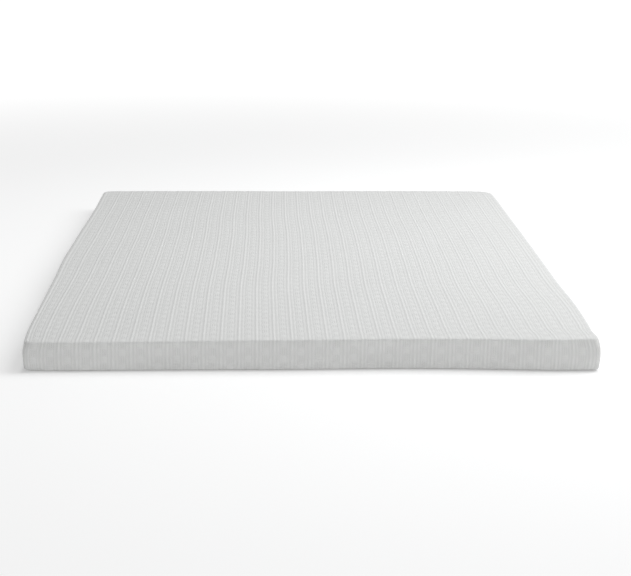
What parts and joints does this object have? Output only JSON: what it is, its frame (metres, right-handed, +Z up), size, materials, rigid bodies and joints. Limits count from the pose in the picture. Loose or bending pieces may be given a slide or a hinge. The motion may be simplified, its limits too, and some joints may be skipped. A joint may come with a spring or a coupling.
{
  "type": "mattress topper",
  "caption": "Thick foam mattress topper in a ribbed knit cover, with a low crown, soft uneven sides, a drawn-in foot end and a plain underside.",
  "frame": {"origin": "middle of the flat underside, where the topper rests on a mattress", "axes": "+Z up through the thickness, +Y along the length from the foot end to the head end, +X across the width"},
  "size_m": [1.5408, 2.0351, 0.0903],
  "materials": {
    "ribbed_knit": "matte",
    "plain_panel": "matte"
  },
  "bodies": {
    "root": {"filled_cover": "ribbed_knit", "underside_panel": "plain_panel"}
  },
  "joints": []
}
